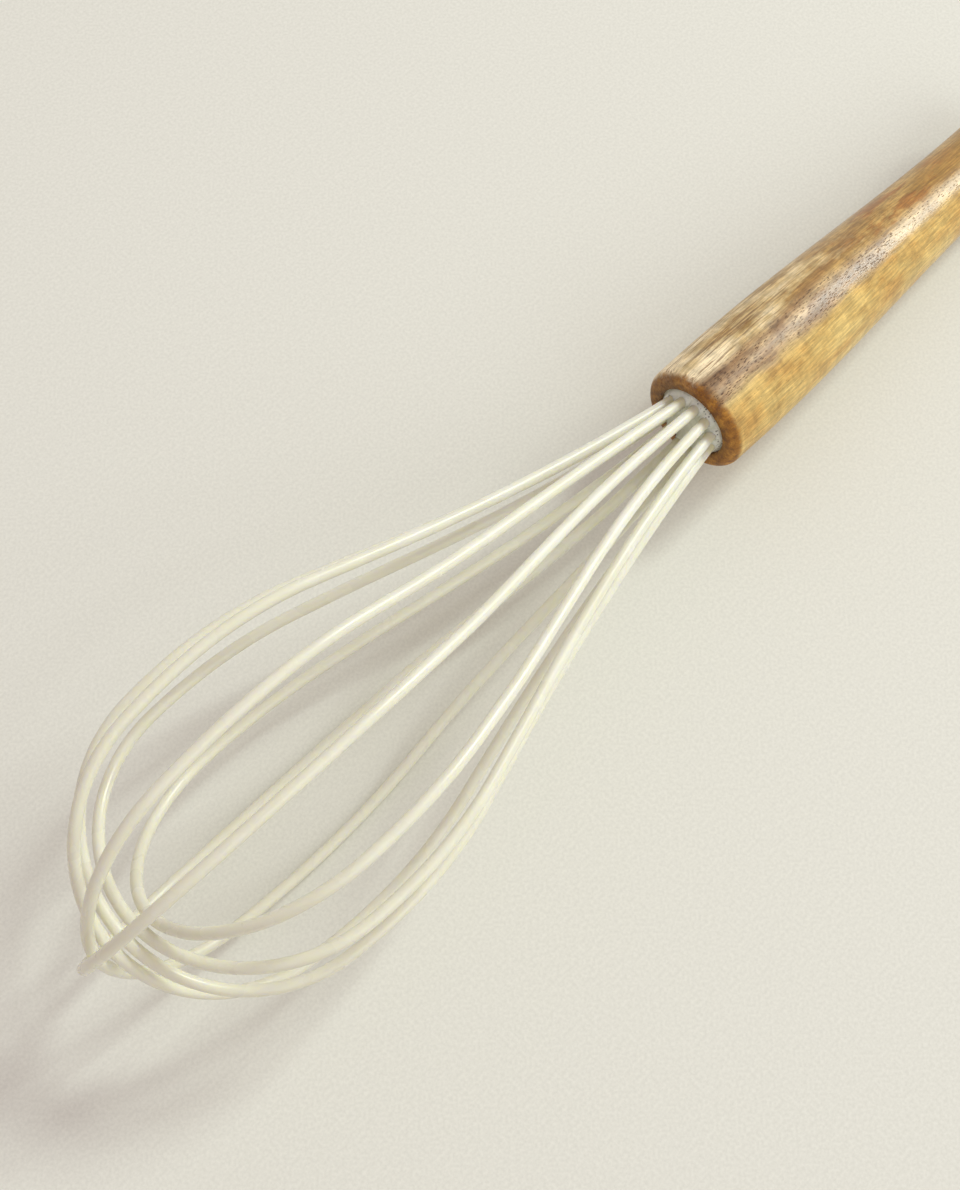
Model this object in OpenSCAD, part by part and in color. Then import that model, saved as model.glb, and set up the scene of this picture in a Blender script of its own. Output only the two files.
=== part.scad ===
// Balloon whisk: six closed loops of silicone-sleeved steel wire, set in the bored mouth of a turned
// wooden handle and sealed there with poured resin. It is drawn along +X, from the handle's butt to
// the tip of the head, with the middle of the handle's mouth as the start. Then it is laid down as it
// rests on a table: on two neighbouring wires of the head and on the handle's butt.

/* [Handle] */
// Length of the handle from mouth to butt
handle_len = 138; // [120:1:155]
// Diameter at the rim of the mouth
mouth_d = 28; // [26.5:0.1:31]
// Diameter where the grip is fullest
fullest_d = 28.2; // [27:0.1:32]
// Distance of the fullest place from the mouth
fullest_at = 14; // [10:1:30]
// Diameter of the slim waist
waist_d = 20.6; // [18:0.1:25]
// Distance of the waist from the end of the butt
waist_back = 19; // [16:1:30]
// Diameter of the swelling at the butt
butt_d = 23.8; // [21:0.1:26]
// Length of the rounded end past the butt's fullest place
butt_round = 9; // [6:0.5:11]
// Radius on the outer edge of the mouth
rim_r = 1.6; // [0.6:0.1:2.2]
// Easing on the inner edge of the mouth
lip_ease = 0.5; // [0.2:0.1:0.8]
// Diameter of the hole that hangs the whisk up
hang_d = 5; // [4:0.1:7]
// Depth of the easing round the hang hole
hang_ease = 0.8; // [0.4:0.1:1.2]

/* [Mouth] */
// Diameter of the bore in the handle
bore_d = 19; // [18:0.1:20]
// Depth of the bore
bore_depth = 38; // [34:1:50]
// Distance from the mouth to the resin where it meets the bore's wall
seal_sink = 1; // [0.4:0.1:1.6]
// Height of the resin's dome over that edge
seal_rise = 1.4; // [0.6:0.1:2.4]
// Depth of the resin under the mouth
seal_depth = 20; // [16:1:23]
// Width of the resin collar that climbs each wire
collar_w = 0.8; // [0.3:0.1:1.1]
// Height that each collar climbs
collar_h = 2.2; // [1:0.1:3]
// Thickness of the drilled holder behind the resin
holder_t = 7; // [4:0.5:8]

/* [Wires] */
// Outer diameter of the silicone sleeve
sleeve_d = 3; // [2.6:0.05:3.2]
// Diameter of the steel wire inside
core_d = 1.6; // [1.2:0.05:2]
// Length of each sleeve's tail in the handle
sleeve_tail = 17; // [12:1:19]
// Length of each steel wire's tail in the handle
core_tail = 30; // [26:1:33]

/* [Head] */
// Radius of the ring in which the wires stand in the handle
ring_r = 6.7; // [6.5:0.05:7.2]
// Radius of each wire's bend as it leaves the resin
root_bend_r = 30; // [20:1:40]
// Angle at which each wire leaves the handle
root_angle = 8.9; // [7:0.1:10.5]
// Radius of the head at its widest, to the wire's middle
belly_r = 35.8; // [31:0.1:40]
// Distance of the widest place from the mouth
belly_at = 129; // [118:1:142]
// Radius of the wires' curve just past the widest place
shoulder_r = 128; // [110:1:150]
// Distance from the widest place to the tip of the innermost loop
tip_reach = 39.1; // [38:0.1:41]
// Distance from the mouth over which each loop swings round to its own place
swing_run = 90; // [70:1:110]
// Angle through which the loops swing about the axis on the way
swing = 14; // [0:1:20]
// Angle by which the fourth loop, bent in less neatly, swings less than the others
fourth_lag = 7; // [0:1:10]
// Distance that the innermost loop stands off the axis, in its own plane
inner_stand_off = 3.2; // [0:0.2:4]

/* [Hidden] */
$fn = 48;

// Six loops share the ring evenly, so twelve wires stand in it
loops = 6;
pitch = 180 / loops;
// Gap between pieces that are pushed or poured together
fit_gap = 0.05;
// Gap between loops where they cross at the tip
cross_gap = 0.24;
// Distance that cutters run past what they cut
overrun = 1;
// Steps along each bend of a wire, and sides round it
root_steps = 2;
sweep_steps = 4;
belly_steps = 4;
shoulder_steps = 2;
cap_steps = 18;
angle_slack = 0.01;
sleeve_sides = 10;
core_sides = 6;
// Facets round everything that is turned about the whisk's axis
turned_sides = 96;

// The sweep from the mouth ends at these shares of the way to the widest place
sweep_along_share = 0.62;
sweep_out_share = 0.64;

// Root of each wire: a short bend from the ring to the angle of the mouth
root_x = root_bend_r * sin(root_angle);
root_y = ring_r + root_bend_r * (1 - cos(root_angle));
// Corner that the bend rounds off, and the hole that clears the bend there
root_corner = root_bend_r * tan(root_angle / 2) - root_x;
root_hole_d = sleeve_d + 2 * fit_gap + 2 * root_bend_r * (1 / cos(root_angle / 2) - 1);
// Sweep: one arc that opens from the root angle to the flare angle
sweep_x = sweep_along_share * belly_at;
sweep_y = root_y + sweep_out_share * (belly_r - root_y);
chord_angle = atan2(sweep_y - root_y, sweep_x);
flare_angle = 2 * chord_angle - root_angle;
sweep_r = norm([sweep_x, sweep_y - root_y]) / 2 / sin(chord_angle - root_angle);
// Belly: a straight run and the arc that is tangent to it and to the widest place
belly_tangent = belly_at - sweep_x - (belly_r - sweep_y) / tan(flare_angle);
belly_bend_r = belly_tangent / tan(flare_angle / 2);
flare_run = (belly_r - sweep_y) / sin(flare_angle) - belly_tangent;

// Tips: each loop passes outside the one before it where they cross on the axis
function reach(i) = tip_reach + i * (sleeve_d + cross_gap);
function shoulder_angle(i) = 90 - 2 * atan((shoulder_r - reach(i)) / (shoulder_r - belly_r));
function cap_r(i) =
    (belly_r - shoulder_r * (1 - cos(shoulder_angle(i)))) / cos(shoulder_angle(i));
function cap_x(i) = belly_at + reach(i) - cap_r(i);
// Place of each loop in the ring, from the innermost loop to the outermost, which is the order in
// which they were bent in by hand
turn_order = [1, 2, 3, 4, 5, 0];
fourth = 3;
function swung_share(x) = eased(0, 1, min(1, max(0, x / swing_run)));
function swing_at(i, x) = (i == fourth ? swing - fourth_lag : swing) * swung_share(x);
function stand_off_at(i, x) = i == 0 ? inner_stand_off * swung_share(x) : 0;
// The two lowest wires straddle the plane that the whisk lies on, at this angle either side. Turns
// are taken at the mouth, from upright towards +Y.
low_angle = pitch / 2;
function turn(i) = turn_order[i] * pitch + low_angle - swing;

// Laid down: the tilt at which the low wires and the butt touch one plane
low_share = cos(low_angle);
butt_x = handle_len - butt_round;
function low_wires(t) = (belly_r - belly_bend_r) * low_share * cos(t)
    + belly_bend_r * norm([sin(t), low_share * cos(t)]) + sleeve_d / 2;
function low_butt(t) = norm([butt_round * sin(t), butt_d / 2 * cos(t)]);
function settle(t, left) = left == 0 ? t
    : settle(asin((low_wires(t) - low_butt(t)) / (belly_at + butt_x)), left - 1);
tilt = settle(0, 12);
lift = low_butt(tilt) + butt_x * sin(tilt);
// The laid whisk is centred on its own length
front_end = cap_x(loops - 1) * cos(tilt)
    + cap_r(loops - 1) * norm([cos(tilt), low_share * sin(tilt)]) + sleeve_d / 2;
back_end = butt_x * cos(tilt) + norm([butt_round * cos(tilt), butt_d / 2 * sin(tilt)]);
middle = (front_end - back_end) / 2;

module laid() {
    translate([-middle, 0, lift])
        rotate([0, -tilt, 0])
            children();
}

// Turns an outline of [radius, distance along the axis] about the whisk's axis
module turned() {
    rotate([0, 90, 0])
        rotate_extrude($fn = turned_sides)
            children();
}

// Eases from one value to the next, level at both ends
function eased(from, to, t) = from + (to - from) * (1 - cos(180 * t)) / 2;

// A wire's middle line is a list of stops [x, y, heading], with the axis along X and the wire's
// side at +Y. Each function gives the stops after the one that the last run ended at.
function arc_stops(centre, radius, from, to, steps) =
    [for (k = [1 : steps]) let (h = from + (to - from) * k / steps, side = to > from ? -1 : 1)
        [centre.x - side * radius * sin(h), centre.y + side * radius * cos(h), h]];

function half_stops(i, tail) = concat(
    [[-tail, ring_r, 0], [-root_x, ring_r, 0]],
    arc_stops([-root_x, ring_r + root_bend_r], root_bend_r, 0, root_angle, root_steps),
    arc_stops([-sweep_r * sin(root_angle), root_y + sweep_r * cos(root_angle)], sweep_r,
        root_angle, flare_angle, sweep_steps),
    [[sweep_x + flare_run * cos(flare_angle), sweep_y + flare_run * sin(flare_angle), flare_angle]],
    arc_stops([belly_at, belly_r - belly_bend_r], belly_bend_r, flare_angle, 0, belly_steps),
    arc_stops([belly_at, belly_r - shoulder_r], shoulder_r, 0, -shoulder_angle(i), shoulder_steps)
);

// The far half is the near half mirrored across the axis and run backwards
function backwards(stops) =
    [for (k = [len(stops) - 1 : -1 : 0]) [stops[k].x, -stops[k].y, 180 - stops[k].z]];

function loop_stops(i, tail) = concat(
    half_stops(i, tail),
    [for (stop = arc_stops([cap_x(i), 0], cap_r(i), -shoulder_angle(i), shoulder_angle(i) - 180,
        cap_steps)) if (stop.z > shoulder_angle(i) - 180 + angle_slack) stop],
    backwards(half_stops(i, tail))
);

// Ring of points round a stop of loop i, moved off the axis and swung about it as far as it should be
function ring_points(i, stop, d, sides) =
    let (y = stop.y + stand_off_at(i, stop.x), w = swing_at(i, stop.x))
        [for (j = [0 : sides - 1]) let (a = 360 * j / sides, side = y + d / 2 * cos(a) * cos(stop.z),
            up = d / 2 * sin(a))
                [stop.x - d / 2 * cos(a) * sin(stop.z), side * cos(w) + up * sin(w),
                    up * cos(w) - side * sin(w)]];

// Solid wire of diameter d along loop i's stops, or a tube where it has a hole. The walls join ring
// to ring: a tube's run out along the outside, back along the inside, and meet where they began.
module swept(i, stops, d, hole, sides) {
    last = len(stops) - 1;
    rings = hole > 0 ? 2 * len(stops) : len(stops);
    joins = hole > 0 ? rings : rings - 1;
    outside = [for (stop = stops) each ring_points(i, stop, d, sides)];
    inside = [for (k = [last : -1 : 0]) each ring_points(i, stops[k], hole, sides)];
    walls = [for (k = [0 : joins - 1], j = [0 : sides - 1])
        let (a = k * sides, b = (k + 1) % rings * sides, next = (j + 1) % sides)
            each [[a + j, b + j, b + next], [a + j, b + next, a + next]]];
    ends = [[for (j = [0 : sides - 1]) j],
        [for (j = [sides - 1 : -1 : 0]) last * sides + j]];
    polyhedron(concat(outside, hole > 0 ? inside : []), concat(walls, hole > 0 ? [] : ends));
}

module whole_loop(i, tail, d, hole, sides) {
    laid()
        rotate([90 - turn(i), 0, 0])
            swept(i, loop_stops(i, tail), d, hole, sides);
}

// Every wire's place in the ring, with its side at +Y
module each_wire() {
    for (k = [0 : 2 * loops - 1])
        rotate([90 - turn(loops - 1) - k * pitch, 0, 0])
            children();
}

// Stretch of the handle's outline, eased from one diameter to the next
function stretch(x1, d1, x2, d2, steps) =
    [for (k = [1 : steps]) [eased(d1 / 2, d2 / 2, k / steps), -x1 - (x2 - x1) * k / steps]];

// Outline from the middle of the mouth round the rim, along the grip and round the butt
grip_steps = 36;
short_steps = 8;
handle_outline = concat(
    [[0, 0]],
    [for (k = [0 : short_steps]) [mouth_d / 2 - rim_r + rim_r * sin(90 * k / short_steps),
        -rim_r + rim_r * cos(90 * k / short_steps)]],
    stretch(rim_r, mouth_d, fullest_at, fullest_d, short_steps),
    stretch(fullest_at, fullest_d, handle_len - waist_back, waist_d, grip_steps),
    stretch(handle_len - waist_back, waist_d, butt_x, butt_d, short_steps),
    [for (k = [1 : 2 * short_steps]) [butt_d / 2 * cos(45 * k / short_steps),
        -butt_x - butt_round * sin(45 * k / short_steps)]]
);

module handle() {
    color("#b5864b")
        laid()
            difference() {
                turned()
                    polygon(handle_outline);
                turned()
                    translate([0, -bore_depth])
                        square([bore_d / 2, bore_depth + overrun]);
                turned()
                    polygon([[0, -lip_ease], [bore_d / 2, -lip_ease],
                        [bore_d / 2 + lip_ease + overrun, overrun], [0, overrun]]);
                translate([-butt_x, 0, 0])
                    rotate([90, 0, 0]) {
                        cylinder(d = hang_d, h = butt_d + 2 * overrun, center = true);
                        for (side = [0, 1])
                            mirror([0, 0, side])
                                translate([0, 0, butt_d / 2 - hang_ease])
                                    cylinder(h = hang_ease + overrun, r1 = hang_d / 2,
                                        r2 = hang_d / 2 + hang_ease + overrun);
                    }
            }
}

// Dome of the poured resin, from its edge at the bore's wall to the axis
seal_r = bore_d / 2 - fit_gap;
dome_r = (seal_r * seal_r + seal_rise * seal_rise) / 2 / seal_rise;
dome_angle = asin(seal_r / dome_r);

// Hole along a wire's straight tail, from its end to the corner of the root's bend
module hole_along_tail(tail, d) {
    translate([-tail, ring_r, 0])
        rotate([0, 90, 0])
            cylinder(d = d, h = tail + root_corner + overrun);
}

// Resin drawn up round a wire where it leaves the dome
module resin_collar() {
    translate([-seal_sink, root_y, 0])
        rotate([0, 0, root_angle])
            rotate([0, 90, 0])
                cylinder(h = collar_h, r1 = sleeve_d / 2 + collar_w, r2 = sleeve_d / 2 + fit_gap);
}

module resin_seal() {
    color("#dcdad0")
        laid()
            difference() {
                union() {
                    turned()
                        polygon(concat([[0, -seal_depth], [seal_r, -seal_depth]],
                            [for (k = [0 : short_steps])
                                [dome_r * sin(dome_angle * (1 - k / short_steps)),
                                -seal_sink + seal_rise
                                - dome_r * (1 - cos(dome_angle * (1 - k / short_steps)))]]));
                    intersection() {
                        each_wire()
                            resin_collar();
                        rotate([0, 90, 0])
                            cylinder(r = seal_r, h = 2 * collar_h, center = true,
                                $fn = turned_sides);
                    }
                }
                each_wire() {
                    hole_along_tail(core_tail, core_d + 2 * fit_gap);
                    hole_along_tail(sleeve_tail + fit_gap, root_hole_d);
                    translate([root_corner, ring_r, 0])
                        rotate([0, 0, root_angle])
                            translate([-overrun, 0, 0])
                                rotate([0, 90, 0])
                                    cylinder(d = root_hole_d, h = root_bend_r);
                }
            }
}

module wire_holder() {
    color("#cfd2d4")
        laid()
            difference() {
                turned()
                    translate([0, -seal_depth - fit_gap - holder_t])
                        square([seal_r, holder_t]);
                each_wire()
                    hole_along_tail(core_tail + overrun, core_d + 2 * fit_gap);
            }
}

module sleeve_loop(i) {
    color("#f1eee2")
        whole_loop(i, sleeve_tail, sleeve_d, core_d + 2 * fit_gap, sleeve_sides);
}

module wire_loop(i) {
    color("#c3c6c9")
        whole_loop(i, core_tail, core_d, 0, core_sides);
}

module sleeve_loop_1() sleeve_loop(0);
module sleeve_loop_2() sleeve_loop(1);
module sleeve_loop_3() sleeve_loop(2);
module sleeve_loop_4() sleeve_loop(3);
module sleeve_loop_5() sleeve_loop(4);
module sleeve_loop_6() sleeve_loop(5);
module wire_loop_1() wire_loop(0);
module wire_loop_2() wire_loop(1);
module wire_loop_3() wire_loop(2);
module wire_loop_4() wire_loop(3);
module wire_loop_5() wire_loop(4);
module wire_loop_6() wire_loop(5);

handle();
resin_seal();
wire_holder();
sleeve_loop_1();
sleeve_loop_2();
sleeve_loop_3();
sleeve_loop_4();
sleeve_loop_5();
sleeve_loop_6();
wire_loop_1();
wire_loop_2();
wire_loop_3();
wire_loop_4();
wire_loop_5();
wire_loop_6();
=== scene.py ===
# %% [markdown]
# # A balloon whisk with silicone-sleeved wires
# Six closed loops of sleeved spring wire stand in the mouth of a turned wooden handle, held there by
# poured resin. The construction model gives the sizes and the hidden parts. Here each piece that
# shows is made again with round, smooth surfaces, and every piece gets its real finish.

import math

import bmesh
import bpy
from mathutils import Matrix, Vector


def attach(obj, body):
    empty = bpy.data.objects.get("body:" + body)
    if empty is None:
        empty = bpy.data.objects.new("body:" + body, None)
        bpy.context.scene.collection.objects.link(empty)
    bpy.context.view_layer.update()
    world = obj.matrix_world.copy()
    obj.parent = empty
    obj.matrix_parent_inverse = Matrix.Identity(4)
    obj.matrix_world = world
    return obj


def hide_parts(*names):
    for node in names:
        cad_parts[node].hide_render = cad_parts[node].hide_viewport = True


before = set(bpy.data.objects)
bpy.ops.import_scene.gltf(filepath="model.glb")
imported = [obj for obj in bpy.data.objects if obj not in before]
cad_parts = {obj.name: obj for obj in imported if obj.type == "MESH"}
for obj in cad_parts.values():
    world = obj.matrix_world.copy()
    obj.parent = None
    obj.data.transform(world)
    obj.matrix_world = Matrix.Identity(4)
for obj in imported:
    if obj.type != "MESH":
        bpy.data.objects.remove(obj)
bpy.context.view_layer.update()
print("pieces in the frame:", sorted(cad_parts))

# %% [markdown]
# ## Sizes and place
# The whisk is drawn along its own axis, X, with the middle of the handle's mouth as the start. Then
# it is laid down. It rests on two low wires and on its butt, so the axis is tilted a little. One
# matrix does that for every piece. It moves the mesh and not the object, so each object stays at the
# origin, where the construction model's own objects are.

# %% Sizes that several pieces share, in metres
MM = 0.001
WIRES_IN_RING = 12
PITCH = math.radians(360 / WIRES_IN_RING)
RING_R = 6.7 * MM
SLEEVE_R = 1.35 * MM
CORE_R = 0.8 * MM
FIT_GAP = 0.05 * MM
BORE_R = 9.5 * MM
TILT = math.radians(5.45415)
LIFT = 24.1383 * MM
MIDDLE = 23.8297 * MM
LAID = Matrix.Translation((-MIDDLE, 0, LIFT)) @ Matrix.Rotation(-TILT, 4, "Y")
print("tilt on the table:", round(math.degrees(TILT), 2), "degrees")


# %% Turn a mesh in the making into a finished piece
def finish_piece(shape, name, replaced=(), crease=None):
    """Lays the mesh down, shades it smooth, and lets it ride on the whisk for the nodes it replaces."""
    bmesh.ops.transform(shape, matrix=LAID, verts=shape.verts)
    bmesh.ops.recalc_face_normals(shape, faces=shape.faces)
    mesh = bpy.data.meshes.new(name)
    shape.to_mesh(mesh)
    shape.free()
    mesh.shade_smooth()
    if crease is not None:
        mesh.set_sharp_from_angle(angle=crease)
    piece = bpy.data.objects.new(name, mesh)
    bpy.context.scene.collection.objects.link(piece)
    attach(piece, "root")
    if replaced:
        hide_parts(*replaced)
    print(name, "has", len(mesh.polygons), "faces")
    return piece


# %% [markdown]
# ## The wire loops
# A loop is one bent wire in a tube of silicone. A curve with a round bevel could make it too, but its
# ring spacing follows the handles and not the bends. A spin follows each bend as a bending jig does:
# a ring of points is pushed straight or turned about the centre of the next bend. Half a loop is
# enough, because the mirror makes the rest. The half ends in the middle of the tip, where the ring
# lies in the mirror's plane.

# %% The bends of a loop, worked out from a few driving sizes
ROOT_BEND_R = 30 * MM
ROOT_ANGLE = math.radians(8.9)
BELLY_R = 35.8 * MM
BELLY_AT = 129 * MM
SHOULDER_R = 128 * MM
TIP_REACH = 39.1 * MM
LOOP_STEP = 3.24 * MM
SWEEP_ALONG = 0.62
SWEEP_OUT = 0.64

root_x = ROOT_BEND_R * math.sin(ROOT_ANGLE)
root_y = RING_R + ROOT_BEND_R * (1 - math.cos(ROOT_ANGLE))
sweep_x = SWEEP_ALONG * BELLY_AT
sweep_y = root_y + SWEEP_OUT * (BELLY_R - root_y)
chord_angle = math.atan2(sweep_y - root_y, sweep_x)
FLARE = 2 * chord_angle - ROOT_ANGLE
SWEEP_R = math.hypot(sweep_x, sweep_y - root_y) / 2 / math.sin(chord_angle - ROOT_ANGLE)
belly_tangent = BELLY_AT - sweep_x - (BELLY_R - sweep_y) / math.tan(FLARE)
BELLY_BEND_R = belly_tangent / math.tan(FLARE / 2)
FLARE_RUN = (BELLY_R - sweep_y) / math.sin(FLARE) - belly_tangent
print("flare", round(math.degrees(FLARE), 2), "degrees, then", round(FLARE_RUN / MM, 2), "mm straight")


# %% Two moves of the bending jig: push and bend
def pushed(shape, ring, step):
    """Extrudes the ring's edges by one straight step and gives the new ring."""
    out = bmesh.ops.extrude_edge_only(shape, edges=ring)["geom"]
    points = [g for g in out if isinstance(g, bmesh.types.BMVert)]
    bmesh.ops.translate(shape, vec=step, verts=points)
    return [g for g in out if isinstance(g, bmesh.types.BMEdge)]


def bent(shape, ring, centre, angle, steps):
    """Spins the ring's edges about an upright line through centre and gives the new ring."""
    points = list({v for e in ring for v in e.verts})
    out = bmesh.ops.spin(shape, geom=ring + points, cent=(*centre, 0), axis=(0, 0, 1), dvec=(0, 0, 0),
                         angle=angle, steps=steps, use_merge=False, use_normal_flip=False)
    return [g for g in out["geom_last"] if isinstance(g, bmesh.types.BMEdge)]


# %% The root that stands in the handle, with its short outward bend
ROOT_STEPS = 4


def tail_ring(shape, radius, tail, sides):
    """The ring of edges at the end of a wire's straight tail, deep in the handle."""
    at_tail = Matrix.Translation((-tail, RING_R, 0)) @ Matrix.Rotation(math.pi / 2, 4, "Y")
    made = bmesh.ops.create_circle(shape, segments=sides, radius=radius, matrix=at_tail)["verts"]
    return list({e for v in made for e in v.link_edges})


def root_run(shape, radius, tail, sides):
    """A ring pushed from the end of the tail to the root's bend and round it. Gives first and last."""
    first = tail_ring(shape, radius, tail, sides)
    last = pushed(shape, first, (tail - root_x, 0, 0))
    last = bent(shape, last, (-root_x, RING_R + ROOT_BEND_R), ROOT_ANGLE, ROOT_STEPS)
    return first, last


# %% One wall of half a loop, from the tail to the middle of the tip
SWEEP_STEPS, STRAIGHT_STEPS, BELLY_STEPS, SHOULDER_STEPS, CAP_STEPS = 30, 8, 16, 8, 30


def half_wall(shape, loop, radius, tail, sides):
    """Follows all the bends of a loop with one ring, and gives the edges of the open tail."""
    first, ring = root_run(shape, radius, tail, sides)
    sweep_centre = (-SWEEP_R * math.sin(ROOT_ANGLE), root_y + SWEEP_R * math.cos(ROOT_ANGLE))
    ring = bent(shape, ring, sweep_centre, FLARE - ROOT_ANGLE, SWEEP_STEPS)
    step = FLARE_RUN / STRAIGHT_STEPS
    for _ in range(STRAIGHT_STEPS):
        ring = pushed(shape, ring, (step * math.cos(FLARE), step * math.sin(FLARE), 0))
    ring = bent(shape, ring, (BELLY_AT, BELLY_R - BELLY_BEND_R), -FLARE, BELLY_STEPS)
    reach = TIP_REACH + loop * LOOP_STEP
    shoulder = math.pi / 2 - 2 * math.atan((SHOULDER_R - reach) / (SHOULDER_R - BELLY_R))
    cap_r = (BELLY_R - SHOULDER_R * (1 - math.cos(shoulder))) / math.cos(shoulder)
    ring = bent(shape, ring, (BELLY_AT, BELLY_R - SHOULDER_R), -shoulder, SHOULDER_STEPS)
    bent(shape, ring, (BELLY_AT + reach - cap_r, 0), shoulder - math.pi / 2, CAP_STEPS)
    return first


# %% [markdown]
# ### Bent in by hand
# In the photo the loops don't keep the place that they have in the ring. On the way to the belly each
# one swings about the axis, one of them less than the rest, and the innermost stands off to one side.
# The same eased swing moves every ring of the mesh, so the tubes stay round.

# %% Swing the loops and turn each to its place in the ring
SWING_RUN = 90 * MM
SWING = math.radians(14)
FOURTH, FOURTH_LAG = 3, math.radians(7)
INNER_STAND_OFF = 3.2 * MM
RING_PLACE = (1, 2, 3, 4, 5, 0)


def ease(share):
    """Runs from 0 to 1, level at both ends."""
    share = min(1, max(0, share))
    return (1 - math.cos(math.pi * share)) / 2


def ring_turn(loop):
    """The loop's turn at the mouth, so that two wires lie on the table once they have swung."""
    return RING_PLACE[loop] * PITCH + PITCH / 2 - SWING


def swung(shape, loop):
    """Swings a loop that was made upright, and turns it to its place."""
    swing = SWING - (FOURTH_LAG if loop == FOURTH else 0)
    for v in shape.verts:
        share = ease(v.co.x / SWING_RUN)
        v.co.y += (INNER_STAND_OFF if loop == 0 else 0) * share
        v.co = Matrix.Rotation(-swing * share, 3, "X") @ v.co
    place = Matrix.Rotation(math.pi / 2 - ring_turn(loop), 3, "X")
    bmesh.ops.rotate(shape, cent=(0, 0, 0), matrix=place, verts=shape.verts)
    return shape


print("turns at the mouth:", [round(math.degrees(ring_turn(loop))) for loop in range(6)])


# %% A whole loop: walls, tail ends and the mirrored other half
def wire_loop(loop, radius, tail, sides, hole=None):
    """A loop of round wire, or of tube where it has a hole."""
    shape = bmesh.new()
    ends = [e for r in (radius, hole) if r for e in half_wall(shape, loop, r, tail, sides)]
    if hole:
        bmesh.ops.bridge_loops(shape, edges=ends)
    else:
        bmesh.ops.holes_fill(shape, edges=ends, sides=0)
    everything = shape.verts[:] + shape.edges[:] + shape.faces[:]
    bmesh.ops.mirror(shape, geom=everything, matrix=Matrix.Identity(4), merge_dist=0.01 * MM, axis="Y")
    return swung(shape, loop)


# %% Make the six sleeves and the six steel wires inside them
SLEEVE_TAIL = 17 * MM
CORE_TAIL = 30 * MM
SLEEVE_SIDES, CORE_SIDES = 24, 12
CUT_END_CREASE = math.radians(50)
sleeves, cores = [], []
for loop in range(6):
    tube = wire_loop(loop, SLEEVE_R, SLEEVE_TAIL, SLEEVE_SIDES, CORE_R + FIT_GAP)
    sleeves.append(finish_piece(tube, f"silicone_sleeve_{loop + 1}",
                                (f"sleeve_loop_{loop + 1}",), CUT_END_CREASE))
    rod = wire_loop(loop, CORE_R, CORE_TAIL, CORE_SIDES)
    cores.append(finish_piece(rod, f"steel_wire_{loop + 1}",
                              (f"wire_loop_{loop + 1}",), CUT_END_CREASE))

# %% [markdown]
# ## The handle
# The real handle is turned on a lathe, so it is made by a full spin of its outline. The outline holds
# the rounded rim, the bore and the butt. The hang hole is drilled across it with a boolean cut, which
# is what the drill does, and the same cutter widens at both ends to ease the hole's edges.

# %% The outline, from the bottom of the bore round the rim to the butt
HANDLE_LEN = 138 * MM
MOUTH_R = 14 * MM
FULLEST_R = 14.1 * MM
FULLEST_AT = 14 * MM
WAIST_R = 10.3 * MM
WAIST_AT = 119 * MM
BUTT_R = 11.9 * MM
BUTT_ROUND = 9 * MM
BUTT_AT = HANDLE_LEN - BUTT_ROUND
RIM_R = 2.4 * MM
LIP_EASE = 0.5 * MM
BORE_DEPTH = 38 * MM


def eased_run(x1, r1, x2, r2, steps):
    """Outline points from one radius to the next, level at both ends."""
    return [(-x1 - (x2 - x1) * k / steps, r1 + (r2 - r1) * ease(k / steps)) for k in range(1, steps + 1)]


def quarter(centre_x, centre_r, along, out, start, end, steps):
    """Outline points of part of an ellipse about a centre, from one angle to another in degrees."""
    angles = [math.radians(start + (end - start) * k / steps) for k in range(steps + 1)]
    return [(centre_x + along * math.cos(a), centre_r + out * math.sin(a)) for a in angles]


outline = [(-BORE_DEPTH, 0)]
outline += [(-BORE_DEPTH + (BORE_DEPTH - LIP_EASE) * k / 6, BORE_R) for k in range(6)]
outline += quarter(-LIP_EASE, BORE_R + LIP_EASE, LIP_EASE, LIP_EASE, -90, 0, 6)
outline += quarter(-RIM_R, MOUTH_R - RIM_R, RIM_R, RIM_R, 0, 90, 12)
outline += eased_run(RIM_R, MOUTH_R, FULLEST_AT, FULLEST_R, 12)
outline += eased_run(FULLEST_AT, FULLEST_R, WAIST_AT, WAIST_R, 56)
outline += eased_run(WAIST_AT, WAIST_R, BUTT_AT, BUTT_R, 10)
outline += quarter(-BUTT_AT, 0, -BUTT_ROUND, BUTT_R, 85, 0, 17)
print("the handle's outline has", len(outline), "points")


# %% Spin an outline into a turned body
WELD = 0.002 * MM


def turned_body(points, sides, middle=(0, 0, 0), axis=(1, 0, 0)):
    """Spins an outline of (along, radius) about the whisk's axis, or about the given one."""
    shape = bmesh.new()
    across = Vector((0, 1, 0)) if axis[0] else Vector((1, 0, 0))
    verts = [shape.verts.new(Vector(middle) + Vector(axis) * x + across * r) for x, r in points]
    edges = [shape.edges.new(pair) for pair in zip(verts, verts[1:])]
    bmesh.ops.spin(shape, geom=verts + edges, cent=middle, axis=axis, dvec=(0, 0, 0),
                   angle=math.tau, steps=sides, use_merge=True, use_normal_flip=False)
    bmesh.ops.remove_doubles(shape, verts=shape.verts, dist=WELD)
    return shape


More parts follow.
